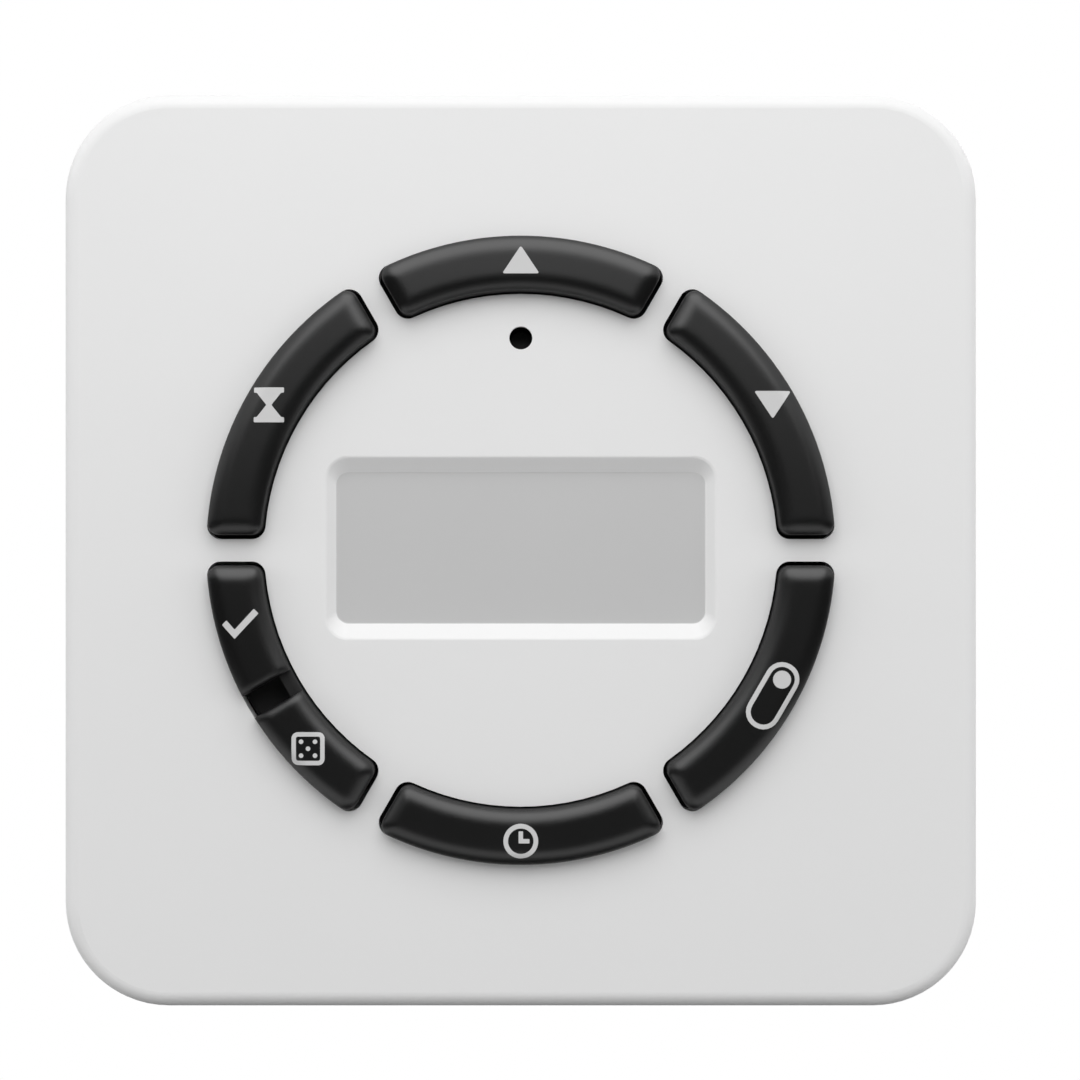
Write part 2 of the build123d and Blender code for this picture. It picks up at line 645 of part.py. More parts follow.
def reset_plunger():
    at = (0, PINHOLE_RISE)
    top = BOARD_FRONT + SWITCH_HEIGHT
    collar_top = top - SWITCH_LID - REST_GAP
    collar = rod(at, PLUNGER_COLLAR, collar_top - COLLAR_HEIGHT, collar_top)
    return collar + rod(at, PLUNGER_DIAMETER, collar_top, top + PLUNGER_PROUD)


def controller_chip():
    """A flat chip on the back of the board, with a row of legs on each side."""
    body = bar((0, 0), CHIP_SIZE, CHIP_SIZE, BOARD_BACK - CHIP_HEIGHT, BOARD_BACK)
    first = -LEG_PITCH * (CHIP_LEGS - 1) / 2
    out = CHIP_SIZE / 2 + LEG_REACH / 2
    legs = []
    for n in range(CHIP_LEGS):
        leg = bar((out, first + n * LEG_PITCH), LEG_REACH, LEG_WIDTH, BOARD_BACK - LEG_SHEET, BOARD_BACK)
        legs += [turn * leg for turn in sides()]
    return Pos(*CHIP_AT) * (body + legs)


def crystal():
    outline = RectangleRounded(CRYSTAL_LENGTH, CRYSTAL_WIDTH, CRYSTAL_WIDTH / 3)
    return slab(Pos(*CRYSTAL_AT) * outline, BOARD_BACK - CRYSTAL_HEIGHT, BOARD_BACK)


def backup_cell():
    low = BOARD_BACK - CELL_HEIGHT
    cell = rod(CELL_AT, CELL_DIAMETER, low, BOARD_BACK)
    return chamfer(cell.faces().sort_by(Axis.Z)[0].edges(), CELL_HEIGHT / 6)


def cell_clip():
    """A spring strap over the cell, with a foot on the board at each end."""
    low = BOARD_BACK - CELL_HEIGHT - CLIP_SHEET
    half = CELL_DIAMETER / 2 + REST_GAP
    length = 2 * half + 2 * CLIP_SHEET
    strap = bar(CELL_AT, length, CLIP_WIDTH, low, low + CLIP_SHEET)
    for side in (-1, 1):
        wall_x = CELL_AT[0] + side * (half + CLIP_SHEET / 2)
        foot_x = CELL_AT[0] + side * (half + CLIP_FOOT / 2)
        strap += bar((wall_x, CELL_AT[1]), CLIP_SHEET, CLIP_WIDTH, low, BOARD_BACK)
        strap += bar((foot_x, CELL_AT[1]), CLIP_FOOT, CLIP_WIDTH, BOARD_BACK - CLIP_SHEET, BOARD_BACK)
    return strap


def link_strip(low, high):
    """The moulded strip that holds the pins of the link, with a hole for every pin."""
    strip = bar((0, LINK_AT), LINK_PITCH * LINK_PINS, LINK_WIDTH, low, high)
    hole = PIN_SIZE + 2 * PIN_CLEARANCE
    for cut in pin_row(LINK_AT, hole, hole, low, high):
        strip -= cut
    return strip


PIN_LOW = POWER_BOARD_FRONT + SOCKET_HEIGHT - PIN_BITE


def link_header():
    return link_strip(BOARD_BACK - HEADER_HEIGHT, BOARD_BACK)


def link_pins():
    return Compound(pin_row(LINK_AT, PIN_SIZE, PIN_SIZE, PIN_LOW, BOARD_FRONT + PIN_PROUD))


def link_socket():
    return link_strip(POWER_BOARD_FRONT, POWER_BOARD_FRONT + SOCKET_HEIGHT)


def link_passage():
    """The opening that the link's pins pass through."""
    length = LINK_PITCH * LINK_PINS + 2 * LINK_CLEARANCE
    return Pos(0, LINK_AT) * Rectangle(length, LINK_WIDTH + 2 * LINK_CLEARANCE)


def wall_slot(grow):
    """One slot for a wall screw, on the right, grown by an amount all round."""
    width = WALL_SLOT_WIDTH + 2 * grow
    return Pos(WALL_SCREW_PITCH / 2, 0) * SlotOverall(WALL_SLOT_LENGTH + 2 * grow, width)


def module_back_plate():
    """The plate that closes the front half, with a sunk cup for every case screw."""
    outline = RectangleRounded(BACK_PLATE_SIZE, BACK_PLATE_SIZE, PLATE_CORNER - COVER_WALL)
    inside = BACK_PLATE_SIZE - 2 * BACK_PLATE_RIM
    corner = PLATE_CORNER - COVER_WALL - BACK_PLATE_RIM
    plate = slab(outline, BACK_PLATE_BACK, BACK_PLATE_FRONT)
    rim = outline - RectangleRounded(inside, inside, corner)
    plate += slab(rim, BACK_PLATE_FRONT, BACK_PLATE_FRONT + RIM_HEIGHT)
    well = SCREW_HEAD + 2 * SCREW_CLEARANCE
    for at in four(CASE_BOSS_AT, CASE_BOSS_AT):
        plate += rod(at, well + 2 * CUP_WALL, BACK_PLATE_BACK, CUP_TOP)
        plate -= rod(at, well, BACK_PLATE_BACK, CUP_TOP - CUP_FLOOR)
        plate -= rod(at, SCREW_SHANK + SCREW_CLEARANCE, BACK_PLATE_BACK, CUP_TOP)
    for at in four(HOUSING_BOSS_AT, HOUSING_BOSS_AT):
        plate -= rod(at, well, BACK_PLATE_BACK, BACK_PLATE_FRONT)
    head_room = (WALL_HEAD - WALL_SLOT_WIDTH) / 2
    for turn in sides():
        plate -= turn * slab(wall_slot(head_room), BACK_PLATE_BACK, BACK_PLATE_FRONT + RIM_HEIGHT)
    return plate - slab(link_passage(), BACK_PLATE_BACK, BACK_PLATE_FRONT)


def module_screws():
    return Compound([screw(at, CUP_TOP - CUP_FLOOR, 1) for at in four(CASE_BOSS_AT, CASE_BOSS_AT)])


def frame_tab():
    """The bent-up tab at the right-hand edge of the frame, with the window for its catch."""
    edge = FRAME_SIZE / 2
    inside = edge - FRAME_SHEET
    flat = edge - TAB_FOOT
    bend = [
        Polyline((flat, 0), (edge - TAB_BEND, 0)),
        RadiusArc((edge - TAB_BEND, 0), (edge, TAB_BEND), -TAB_BEND),
        Polyline((edge, TAB_BEND), (edge, TAB_HEIGHT), (inside, TAB_HEIGHT), (inside, FRAME_SHEET),
                 (flat, FRAME_SHEET), (flat, 0)),
    ]
    tab = extrude(Plane.XZ * make_face(bend), amount=TAB_WIDTH / 2, both=True)
    middle = (edge - FRAME_SHEET / 2, 0)
    return tab - bar(middle, 2 * FRAME_SHEET, TAB_WINDOW, WINDOW_LOW, WINDOW_HIGH)


def mounting_frame():
    """The steel sheet that is screwed over the wall box and carries both halves."""
    plan = chamfer(Rectangle(FRAME_SIZE, FRAME_SIZE).vertices(), FRAME_CLIP)
    sheet = slab(plan - Circle(FRAME_OPENING / 2), 0, FRAME_SHEET)
    foot = bar((FRAME_SIZE / 2 - TAB_FOOT / 2, 0), TAB_FOOT, TAB_WIDTH + 2 * TAB_RELIEF, 0, FRAME_SHEET)
    for turn in sides():
        sheet -= turn * slab(wall_slot(0), 0, FRAME_SHEET)
        sheet -= turn * foot
        sheet += turn * frame_tab()
    for at in four(HOUSING_BOSS_AT, HOUSING_BOSS_AT):
        sheet -= rod(at, SCREW_SHANK + SCREW_CLEARANCE, 0, FRAME_SHEET)
    return sheet


def housing_plan(inset):
    """The outline of the power housing, moved inwards by an amount."""
    size = HOUSING_SIZE - 2 * inset
    return RectangleRounded(size, size, HOUSING_CORNER - inset)


POLES_WIDE = POLE_COUNT * POLE_PITCH
POLE_FRONT = POWER_BOARD_BACK
POLE_BACK = POLE_FRONT - POLE_HEIGHT
POLE_BOTTOM = POLE_REVEAL - HOUSING_SIZE / 2
POLE_TOP = POLE_BOTTOM + POLE_DEPTH
POLE_MIDDLE = POLE_BOTTOM + POLE_DEPTH / 2


def label_recess():
    """The shallow place for a label on the back of the housing, above the terminals."""
    low = POLE_TOP + LABEL_MARGIN / 2
    high = HOUSING_SIZE / 2 - LABEL_MARGIN
    outline = RectangleRounded(HOUSING_SIZE - 2 * LABEL_MARGIN, high - low, LABEL_CORNER)
    return slab(Pos(0, (low + high) / 2) * outline, -HOUSING_DEPTH, LABEL_DEPTH - HOUSING_DEPTH)


def power_housing():
    """The round-cornered tub behind the wall, open in front and cut away at its terminals."""
    tub = slab(housing_plan(0), -HOUSING_DEPTH, 0)
    tub = fillet(tub.faces().sort_by(Axis.Z)[0].edges(), HOUSING_EDGE)
    tub -= label_recess()
    floor = HOUSING_WALL - HOUSING_DEPTH
    inside = slab(housing_plan(HOUSING_WALL), floor, 0)
    for at in four(HOUSING_BOSS_AT, HOUSING_BOSS_AT):
        inside -= rod(at, HOUSING_BOSS, floor, -LID_THICKNESS)
    for side in (-1, 1):
        at = (side * (HOUSING_INSIDE - RAIL_REACH / 2), 0)
        inside -= bar(at, RAIL_REACH, RAIL_WIDTH, floor, POWER_BOARD_BACK)
    tub -= inside
    tub -= slab(housing_plan(HOUSING_WALL - LID_LEDGE), -LID_THICKNESS, 0)
    for at in four(HOUSING_BOSS_AT, HOUSING_BOSS_AT):
        tub -= rod(at, PILOT, -LID_THICKNESS - PILOT_DEPTH, -LID_THICKNESS)
    cut_width = POLES_WIDE + 2 * TERMINAL_CUT_GAP
    cut_top = POLE_TOP + TERMINAL_CUT_GAP
    cut_height = cut_top + HOUSING_SIZE / 2
    cut_at = (0, cut_top - cut_height / 2)
    return tub - bar(cut_at, cut_width, cut_height, -HOUSING_DEPTH, POLE_FRONT)


def housing_lid():
    lid = slab(housing_plan(HOUSING_WALL - LID_LEDGE + LID_FIT), -LID_THICKNESS, 0)
    for at in four(HOUSING_BOSS_AT, HOUSING_BOSS_AT):
        lid -= rod(at, SCREW_SHANK + SCREW_CLEARANCE, -LID_THICKNESS, 0)
    return lid - slab(link_passage(), -LID_THICKNESS, 0)


def housing_screws():
    reach = SCREW_REACH + FRAME_SHEET + LID_THICKNESS
    return Compound([screw(at, FRAME_SHEET, -1, reach) for at in four(HOUSING_BOSS_AT, HOUSING_BOSS_AT)])


def power_board():
    board = slab(housing_plan(HOUSING_WALL + LID_FIT), POWER_BOARD_BACK, POWER_BOARD_FRONT)
    for at in four(HOUSING_BOSS_AT, HOUSING_BOSS_AT):
        board -= rod(at, HOUSING_BOSS + 2 * LID_FIT, POWER_BOARD_BACK, POWER_BOARD_FRONT)
        board -= bar((at[0] * 2, at[1] * 2), 2 * HOUSING_BOSS_AT, 2 * HOUSING_BOSS_AT,
                     POWER_BOARD_BACK, POWER_BOARD_FRONT)
    return board


def standing(at, size):
    """A block that stands on the front of the power board."""
    return bar(at, size[0], size[1], POWER_BOARD_FRONT, POWER_BOARD_FRONT + size[2])


def relay():
    body = standing(RELAY_AT, RELAY_SIZE)
    return chamfer(top_edges(body), FILM_EDGE)


def film_capacitor():
    body = standing(FILM_AT, FILM_SIZE)
    return fillet(top_edges(body), FILM_EDGE)


def smoothing_capacitor():
    """A round can with the rolled groove near its foot."""
    top = POWER_BOARD_FRONT + CAN_HEIGHT
    can = rod(CAN_AT, CAN_DIAMETER, POWER_BOARD_FRONT, top)
    can = fillet(top_edges(can), CAN_GROOVE)
    groove = POWER_BOARD_FRONT + CAN_HEIGHT / 6
    ring = Pos(CAN_AT[0], CAN_AT[1], groove) * Torus(CAN_DIAMETER / 2, CAN_GROOVE)
    return can - ring


def varistor():
    """A coated disc that stands on edge on its two leads."""
    middle = POWER_BOARD_FRONT + DISC_STAND + DISC_DIAMETER / 2
    disc = Cylinder(DISC_DIAMETER / 2, DISC_THICKNESS)
    disc = fillet(disc.edges(), DISC_THICKNESS / 4)
    body = Pos(DISC_AT[0], DISC_AT[1], middle) * Rot(0, 90, 0) * disc
    for side in (-1, 1):
        at = (DISC_AT[0], DISC_AT[1] + side * LEAD_SPREAD / 2)
        body += rod(at, LEAD_DIAMETER, POWER_BOARD_FRONT, middle)
    return body


def fuse():
    body = standing(FUSE_AT, FUSE_SIZE)
    return fillet(body.edges().filter_by(Axis.Z), FUSE_SIZE[1] / 4)


def bridge_rectifier():
    body = standing(BRIDGE_AT, BRIDGE_SIZE)
    return chamfer(top_edges(body), CAN_GROOVE)


def pole_points():
    """The middle of every wire terminal, from left to right."""
    first = -POLE_PITCH * (POLE_COUNT - 1) / 2
    return [(first + n * POLE_PITCH, POLE_MIDDLE) for n in range(POLE_COUNT)]


WIRE_HEIGHT = POLE_FRONT - WIRE_HOLE_LIFT
CAGE_BACK = POLE_FRONT - CAGE_HEIGHT
CAGE_MIDDLE = POLE_BOTTOM + POLE_WALL + CAGE_DEPTH / 2


def wire_hole(x, start, length):
    """The round way in for a wire, from below."""
    hole = Cylinder(WIRE_HOLE / 2, length, align=RISING)
    return Pos(x, start, WIRE_HEIGHT) * Rot(-90, 0, 0) * hole


def terminal_block():
    """One moulded pole for each wire, with a wire hole below and a screw well behind."""
    poles = []
    pocket_width = CAGE_WIDTH + 2 * CAGE_FIT
    pocket_depth = CAGE_DEPTH + 2 * CAGE_FIT
    for at in pole_points():
        pole = bar(at, POLE_PITCH - POLE_GAP, POLE_DEPTH, POLE_BACK, POLE_FRONT)
        cage_at = (at[0], CAGE_MIDDLE)
        pole -= bar(cage_at, pocket_width, pocket_depth, CAGE_BACK - CAGE_FIT, POLE_FRONT)
        pole -= wire_hole(at[0], POLE_BOTTOM, POLE_WALL)
        pole -= rod(cage_at, TERMINAL_HEAD + 2 * WELL_CLEARANCE, POLE_BACK, CAGE_BACK)
        poles.append(pole)
    return Compound(poles)


def terminal_cages():
    """The brass cages that hold the wires, each threaded for its screw."""
    cages = []
    for at in pole_points():
        cage_at = (at[0], CAGE_MIDDLE)
        cage = bar(cage_at, CAGE_WIDTH, CAGE_DEPTH, CAGE_BACK, POLE_FRONT - CAGE_FIT)
        cage -= wire_hole(at[0], CAGE_MIDDLE - CAGE_DEPTH / 2, CAGE_DEPTH)
        cages.append(cage - rod(cage_at, TERMINAL_SCREW, CAGE_BACK, WIRE_HEIGHT))
    return Compound(cages)


def terminal_screws():
    """Slotted screws, driven from behind and open above the wire holes."""
    screws = []
    tip = WIRE_HEIGHT - WIRE_HOLE / 2
    head_low = CAGE_BACK - TERMINAL_HEAD_HEIGHT
    for at in pole_points():
        cage_at = (at[0], CAGE_MIDDLE)
        body = rod(cage_at, TERMINAL_HEAD, head_low, CAGE_BACK - CAGE_FIT)
        body += rod(cage_at, TERMINAL_SCREW - CAGE_FIT, CAGE_BACK - CAGE_FIT, tip)
        body -= bar(cage_at, TERMINAL_HEAD, RECESS_WIDTH, head_low, head_low + RECESS_DEPTH)
        screws.append(body)
    return Compound(screws)


NODES = {
    "front_cover": front_cover,
    "display_window": display_window,
    "lcd_panel": lcd_panel,
    "lcd_holder": lcd_holder,
    "zebra_strips": zebra_strips,
    "set_random_key": set_random_key,
    "dome_mat": dome_mat,
    "contact_pills": contact_pills,
    "control_board": control_board,
    "board_screws": board_screws,
    "reset_switch": reset_switch,
    "reset_plunger": reset_plunger,
    "controller_chip": controller_chip,
    "crystal": crystal,
    "backup_cell": backup_cell,
    "cell_clip": cell_clip,
    "link_header": link_header,
    "link_pins": link_pins,
    "link_socket": link_socket,
    "module_back_plate": module_back_plate,
    "module_screws": module_screws,
    "mounting_frame": mounting_frame,
    "power_housing": power_housing,
    "housing_lid": housing_lid,
    "housing_screws": housing_screws,
    "power_board": power_board,
    "relay": relay,
    "film_capacitor": film_capacitor,
    "smoothing_capacitor": smoothing_capacitor,
    "varistor": varistor,
    "fuse": fuse,
    "bridge_rectifier": bridge_rectifier,
    "terminal_block": terminal_block,
    "terminal_cages": terminal_cages,
    "terminal_screws": terminal_screws,
}

FACING_FORWARD = Rot(90, 0, 0)


def write(node, shape):
    export_step(FACING_FORWARD * shape, f"parts/{node}.step")


os.makedirs("parts", exist_ok=True)
for node, make in NODES.items():
    write(node, make())
for key in PUSH_KEYS:
    write(f"{key}_key", push_key(key))
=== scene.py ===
import json
from math import cos, pi, radians, sin, tau

import bmesh
import bpy
from mathutils import Matrix, Vector
from mathutils.bvhtree import BVHTree


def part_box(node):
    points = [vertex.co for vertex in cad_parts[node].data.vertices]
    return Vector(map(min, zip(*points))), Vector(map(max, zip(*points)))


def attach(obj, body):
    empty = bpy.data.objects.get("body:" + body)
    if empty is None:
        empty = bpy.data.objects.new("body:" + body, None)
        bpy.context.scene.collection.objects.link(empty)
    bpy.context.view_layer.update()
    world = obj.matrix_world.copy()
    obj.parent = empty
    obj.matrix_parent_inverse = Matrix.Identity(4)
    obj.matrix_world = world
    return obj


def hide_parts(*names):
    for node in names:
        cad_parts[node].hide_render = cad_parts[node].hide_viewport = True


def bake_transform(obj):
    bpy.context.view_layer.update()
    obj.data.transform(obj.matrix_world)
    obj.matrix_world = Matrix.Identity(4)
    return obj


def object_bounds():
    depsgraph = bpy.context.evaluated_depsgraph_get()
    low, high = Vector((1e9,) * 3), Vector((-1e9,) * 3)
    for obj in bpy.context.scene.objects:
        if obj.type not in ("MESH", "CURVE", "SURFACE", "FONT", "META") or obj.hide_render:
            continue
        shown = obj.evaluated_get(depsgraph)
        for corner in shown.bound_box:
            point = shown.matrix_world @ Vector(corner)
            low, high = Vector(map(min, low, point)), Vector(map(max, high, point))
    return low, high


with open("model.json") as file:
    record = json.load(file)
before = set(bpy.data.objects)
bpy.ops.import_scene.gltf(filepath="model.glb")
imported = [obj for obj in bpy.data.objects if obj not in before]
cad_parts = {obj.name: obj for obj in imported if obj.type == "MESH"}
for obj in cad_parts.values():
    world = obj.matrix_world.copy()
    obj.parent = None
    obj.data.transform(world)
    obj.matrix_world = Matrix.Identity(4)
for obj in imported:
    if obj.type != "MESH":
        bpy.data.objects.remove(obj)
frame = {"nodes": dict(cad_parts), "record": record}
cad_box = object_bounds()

# Looks of a flush wall timer: moulded plastics, plated sheet steel, printed key legends,
# and the plain white studio it is shown in. Lengths are in metres unless a name says mm.

MM = 0.001
WHITE = (1, 1, 1, 1)

# Camera, from the place and width of the cover in a square picture
PICTURE_PX = 1080
COVER_PX = 914.5
COVER_MIDDLE_PX = (520.8, 550.3)
CAMERA_TO_FACE = 180 * MM
FRONT_EDGE_DEPTH = 1.4 * MM
SENSOR_MM = 36.0
CAMERA_NEAREST = 10 * MM

# Display window: a satin pane, with clear glue in the joint round it
PANE_CLEARNESS = 0.1
PANE_IOR = 1.49
PANE_BORDER_MM = 1.7
GLUE_OVERLAP_MM = 0.03
GLUE_WIDTH_MM = 0.12
GLUE_CORNER_MM = 1.1
GLUE_PROUD_MM = 0.02
GLUE_DEPTH_MM = 0.4

# Ring of keys, with tops that reach down to a brim a little behind the foremost point
KEY_RING_MM = 24.8
KEY_CREASE = 1.0 * MM
CREASE_SAMPLES = 8
KEY_BRIM_DEPTH = 0.5 * MM
KEY_BRIM = cad_box[0].y + KEY_BRIM_DEPTH
KEY_WALL_ROUGHNESS = 0.9

# Key legends, in millimetres on the key tops
LEGEND_OUTWARD_MM = 0.2
LEGEND_HALF_MM = 1.5
LEGEND_STROKE_MM = 0.408
INK_THICKNESS_MM = 0.02
TRIANGLE_HALF_MM = (1.6, 1.2)
TRIANGLE_CORNER_MM = 0.2
CORNER_STEPS = 6
DOT_STEPS = 24
RING_STEPS = 48

# A legend is split into pieces of this length, to follow the crown of its key
LEGEND_STEP_MM = 0.35
LEGEND_SPLITS = 5

# Copper tracks of the boards, upright in some blocks, level in others, and none in the rest
TRACK_PITCH = 1.27 * MM
TRACK_SHARE = 0.4
TRACK_BLOCK = (11.43 * MM, 1.0, 7.62 * MM)
TRACK_LEVEL_BELOW = 0.4
TRACK_UPRIGHT_ABOVE = 0.6
TRACK_TONE = 0.7

# Key mat
DOME_RADIUS_MM = 3.15
MAT_THICKNESS_MM = 0.8
PILL_SPARE_MM = 0.02
SHARP_DEG = 30
JOIN_DISTANCE = 0.001 * MM
LEVEL_TOLERANCE = 0.01 * MM

# Floor: grey levels to the eye and to the object, and where it goes over to white
FLOOR_DROP = 60 * MM
FLOOR_LEVEL = cad_box[0].z - FLOOR_DROP
FLOOR_RADIUS = 1.5
FLOOR_STEPS = 96
FLOOR_FADE = (0.11, 0.21)
FLOOR_PAINT = 0.86
FLOOR_LIFT = 0.24
FLOOR_SHADE = 0.25

# Dark bowl that the keys mirror
SURROUND_RADIUS = 0.8
SURROUND_STEPS = (48, 64)
SURROUND_BACK = 0.08
SURROUND_TOP = 0.4
SURROUND_DIP = 0.4
SURROUND_GAP = (0.1, 0.17)
SURROUND_ABOVE_FLOOR = 1 * MM

# Lamps and sky
LAMP_PLACE = (0.0, -0.30, 0.27)
LAMP_SIZE = 0.46
LAMP_POWER = 1.36
SIDE_PLACE = (0.55, -0.10, 0.05)
SIDE_SIZE = 0.5
SIDE_POWER = 1.0
BACK_PLACE = (0.12, 0.42, 0.16)
BACK_SIZE = 0.4
BACK_POWER = 0.9
SKY_LEVEL = 0.49

# Grain of the finishes
NOISE_ROUGHNESS = 0.55
FINE_DETAIL = 2.0
BROAD_DETAIL = 4.0


# Shader nodes

def object_place(tree):
    """The place on a piece, in metres."""
    return tree.nodes.new("ShaderNodeTexCoord").outputs["Object"]


def split(tree, place):
    """The three coordinates of a place."""
    node = tree.nodes.new("ShaderNodeSeparateXYZ")
    tree.links.new(place, node.inputs[0])
    return node.outputs


def math_node(tree, operation, *values):
    """A maths node; a value is a number or the socket that feeds it."""
    node = tree.nodes.new("ShaderNodeMath")
    node.operation = operation
    for socket, value in zip(node.inputs, values):
        if isinstance(value, (int, float)):
            socket.default_value = value
        else:
            tree.links.new(value, socket)
    return node.outputs[0]


def noise(tree, coordinates, scale, detail, stretch=None):
    """A noise texture; scale is a number or a socket, and stretch has a factor for each axis."""
    source = coordinates
    if stretch is not None:
        mapping = tree.nodes.new("ShaderNodeMapping")
        mapping.inputs["Scale"].default_value = stretch
        tree.links.new(source, mapping.inputs["Vector"])
        source = mapping.outputs["Vector"]
    texture = tree.nodes.new("ShaderNodeTexNoise")
    texture.inputs["Detail"].default_value = detail
    texture.inputs["Roughness"].default_value = NOISE_ROUGHNESS
    tree.links.new(source, texture.inputs["Vector"])
    if isinstance(scale, (int, float)):
        texture.inputs["Scale"].default_value = scale
    else:
        tree.links.new(scale, texture.inputs["Scale"])
    return texture.outputs["Fac"]


def varied(tree, mean, spread, pattern):
    """mean, plus or minus half of spread, as a pattern from 0 to 1 says."""
    centred = math_node(tree, "SUBTRACT", pattern, 0.5)
    return math_node(tree, "MULTIPLY_ADD", centred, spread, mean)


def shaded(tree, colour, factor):
    """A colour times a factor."""
    node = tree.nodes.new("ShaderNodeVectorMath")
    node.operation = "SCALE"
    tree.links.new(colour, node.inputs[0])
    tree.links.new(factor, node.inputs["Scale"])
    return node.outputs["Vector"]


def mixed(tree, share, first, second):
    """Two shaders in one: the first where share is 0, the second where it is 1."""
    node = tree.nodes.new("ShaderNodeMixShader")
    tree.links.new(share, node.inputs[0])
    tree.links.new(first, node.inputs[1])
    tree.links.new(second, node.inputs[2])
    return node.outputs[0]


def see_through(tree):
    return tree.nodes.new("ShaderNodeBsdfTransparent").outputs[0]


# Shader groups

def add_socket(tree, way, name, kind, value=None):
    """Adds a named socket to a shader group."""
    socket = tree.interface.new_socket(name=name, in_out=way, socket_type=kind)
    if value is not None:
        socket.default_value = value


def surface_group(name, fine_stretch, broad_scale):
    """A group that varies colour and roughness slowly and gives a fine height."""
    tree = bpy.data.node_groups.new(name, "ShaderNodeTree")
    add_socket(tree, "INPUT", "Colour", "NodeSocketColor", (0.8, 0.8, 0.8, 1))
    add_socket(tree, "INPUT", "Mottle", "NodeSocketFloat", 0.03)
    add_socket(tree, "INPUT", "Roughness", "NodeSocketFloat", 0.5)
    add_socket(tree, "INPUT", "Spread", "NodeSocketFloat", 0.1)
    add_socket(tree, "INPUT", "Pitch", "NodeSocketFloat", 4000.0)
    add_socket(tree, "OUTPUT", "Colour", "NodeSocketColor")
    add_socket(tree, "OUTPUT", "Roughness", "NodeSocketFloat")
    add_socket(tree, "OUTPUT", "Height", "NodeSocketFloat")
    given = tree.nodes.new("NodeGroupInput").outputs
    result = tree.nodes.new("NodeGroupOutput").inputs
    coordinates = object_place(tree)
    fine = noise(tree, coordinates, given["Pitch"], FINE_DETAIL, fine_stretch)
    broad = noise(tree, coordinates, broad_scale, BROAD_DETAIL)
    tone = varied(tree, 1.0, given["Mottle"], broad)
    tree.links.new(shaded(tree, given["Colour"], tone), result["Colour"])
    slow = varied(tree, given["Roughness"], given["Spread"], broad)
    rough = varied(tree, slow, given["Spread"], fine)
    tree.links.new(rough, result["Roughness"])
    tree.links.new(fine, result["Height"])
    return tree


MOULDED = surface_group("moulded_grain", fine_stretch=None, broad_scale=70.0)
ROLLED = surface_group("rolled_sheet", fine_stretch=(1.0, 1.0, 0.04), broad_scale=160.0)


# Materials

def blank_material(name):
    """A new material, with its node tree and its shader."""
    material = bpy.data.materials.new(name)
    material.use_nodes = True
    return material, material.node_tree, material.node_tree.nodes["Principled BSDF"]


def dressed(name, group, colour, roughness, mottle, spread, pitch, relief_mm, metallic, gloss):
    """A surface with the grain of a group, raised by a fine relief."""
    material, tree, shader = blank_material(name)
    grain = tree.nodes.new("ShaderNodeGroup")
    grain.node_tree = group
    grain.inputs["Colour"].default_value = (*colour, 1)
    grain.inputs["Mottle"].default_value = mottle
    grain.inputs["Roughness"].default_value = roughness
    grain.inputs["Spread"].default_value = spread
    grain.inputs["Pitch"].default_value = pitch
    bump = tree.nodes.new("ShaderNodeBump")
    bump.name = "relief"
    bump.inputs["Distance"].default_value = relief_mm * MM
    bump.inputs["Strength"].default_value = 1.0
    tree.links.new(grain.outputs["Height"], bump.inputs["Height"])
    tree.links.new(grain.outputs["Colour"], shader.inputs["Base Color"])
    tree.links.new(grain.outputs["Roughness"], shader.inputs["Roughness"])
    tree.links.new(bump.outputs["Normal"], shader.inputs["Normal"])
    shader.inputs["Metallic"].default_value = metallic
    shader.inputs["Specular IOR Level"].default_value = gloss
    return material


def plastic(name, colour, roughness, mottle=0.03, spread=0.08, pitch=4500.0, relief_mm=0.004, gloss=0.5):
    return dressed(name, MOULDED, colour, roughness, mottle, spread, pitch, relief_mm, 0.0, gloss)


def metal(name, colour, roughness):
    return dressed(name, ROLLED, colour, roughness, mottle=0.10, spread=0.14, pitch=2500.0, relief_mm=0.002,
                   metallic=1.0, gloss=0.5)


def satin_pane(name, colour):
    """Satin plastic over the display: mostly its own pale grey, and a little of what is behind it."""
    material = plastic(name, colour, roughness=0.42, mottle=0.015, spread=0.06, pitch=7000.0, relief_mm=0.001)
    tree = material.node_tree
    shader = tree.nodes["Principled BSDF"]
    shader.inputs["Transmission Weight"].default_value = PANE_CLEARNESS
    shader.inputs["IOR"].default_value = PANE_IOR
    in_shadow = tree.nodes.new("ShaderNodeLightPath").outputs["Is Shadow Ray"]
    surface = mixed(tree, in_shadow, shader.outputs[0], see_through(tree))
    tree.links.new(surface, tree.nodes["Material Output"].inputs["Surface"])
    return material


def crease_normal(tree, soft):
    """The surface's own normal, or one that is rounded over its creases where soft is 1."""
    own = tree.nodes.new("ShaderNodeNewGeometry")
    rounded = tree.nodes.new("ShaderNodeBevel")
    rounded.samples = CREASE_SAMPLES
    rounded.inputs["Radius"].default_value = KEY_CREASE
    choice = tree.nodes.new("ShaderNodeMix")
    choice.data_type = "VECTOR"
    sockets = {socket.identifier: socket for socket in (*choice.inputs, *choice.outputs)}
    tree.links.new(soft, sockets["Factor_Float"])
    tree.links.new(own.outputs["Normal"], sockets["A_Vector"])
    tree.links.new(rounded.outputs["Normal"], sockets["B_Vector"])
    return sockets["Result_Vector"]


